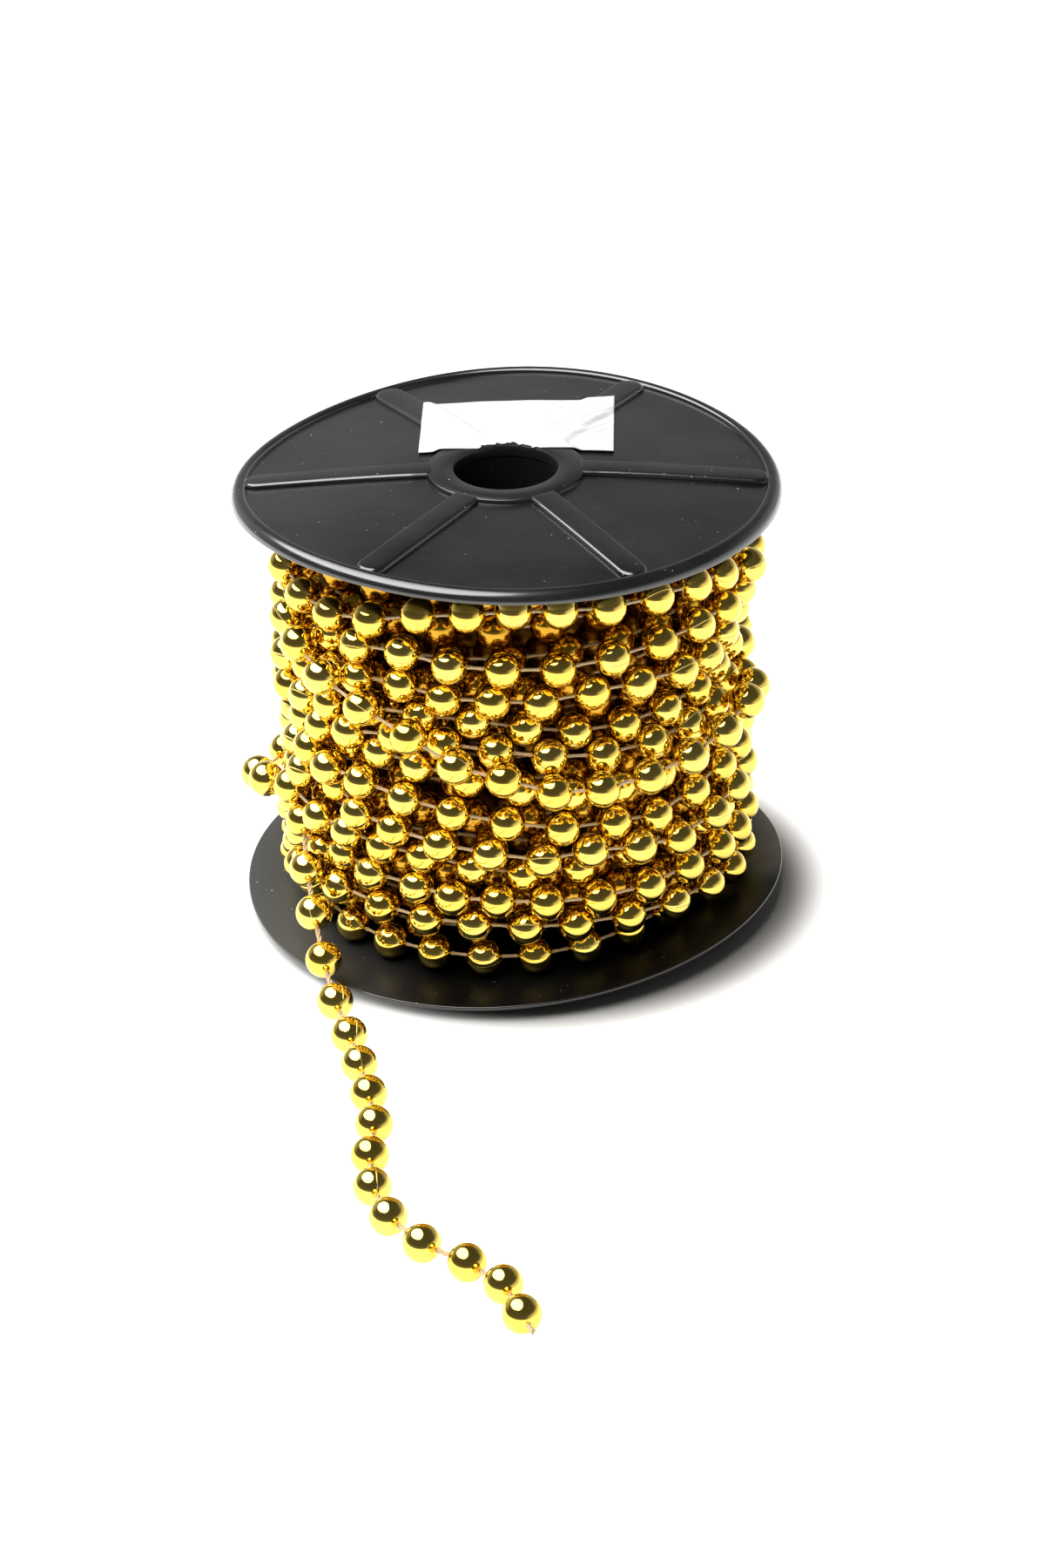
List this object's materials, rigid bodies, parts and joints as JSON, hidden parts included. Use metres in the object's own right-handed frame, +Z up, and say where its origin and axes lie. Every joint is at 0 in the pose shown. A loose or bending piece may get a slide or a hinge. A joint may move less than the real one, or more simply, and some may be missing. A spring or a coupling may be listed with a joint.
{
  "type": "bead string on a spool",
  "caption": "String of small round metallised beads wound in layers on a flanged plastic spool, with a blank paper label and one end lying loose.",
  "frame": {"origin": "on the spool's axis, on the surface it stands on", "axes": "+Z up along the spool's axis; +X to the right and +Y away from a viewer who has the loose end in front"},
  "size_m": [0.09, 0.1798, 0.0772],
  "materials": {
    "spool_plastic": "satin black moulded plastic with fine scratches",
    "beads": "metallised gold mirror over moulded plastic",
    "label_paper": "plain white, slightly creased"
  },
  "bodies": {
    "root": {"flange_bottom": "spool_plastic", "flange_top": "spool_plastic", "spool_core": "spool_plastic", "bead_winding": "beads", "label": "label_paper", "loose_end": "beads"}
  },
  "joints": []
}
